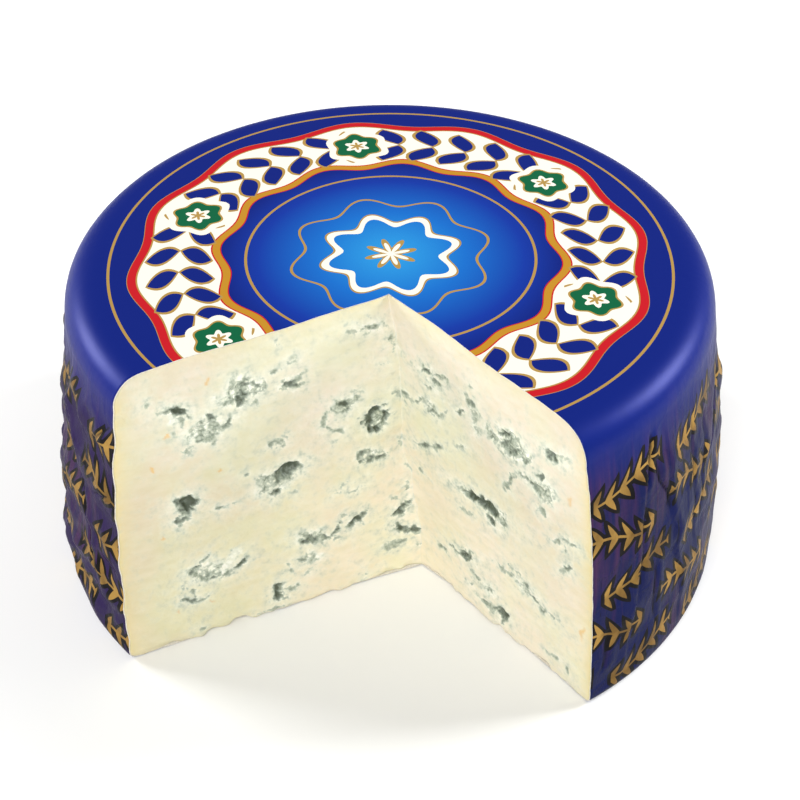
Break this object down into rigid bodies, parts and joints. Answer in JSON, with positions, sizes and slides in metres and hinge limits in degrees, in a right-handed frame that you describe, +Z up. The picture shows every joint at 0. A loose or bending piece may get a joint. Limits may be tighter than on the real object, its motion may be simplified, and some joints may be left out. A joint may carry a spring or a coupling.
{
  "type": "blue cheese wheel",
  "caption": "Low round wheel of blue-veined cheese in printed foil, with a wedge cut out that shows the veined paste; food to serve or slice.",
  "frame": {"origin": "middle of the wheel's underside, on the wheel's axis", "axes": "+Z up along the wheel's axis; the wedge is missing between -X and -Y, so one cut face looks along -X and the other mostly along -Y"},
  "size_m": [0.1904, 0.1904, 0.092],
  "materials": {
    "cheese_paste": "moist cut paste, matt, with grey-green veins",
    "printed_foil": "satin foil, printed dark blue"
  },
  "bodies": {
    "root": {"cheese": "cheese_paste", "foil_wrap": "printed_foil"}
  },
  "joints": []
}
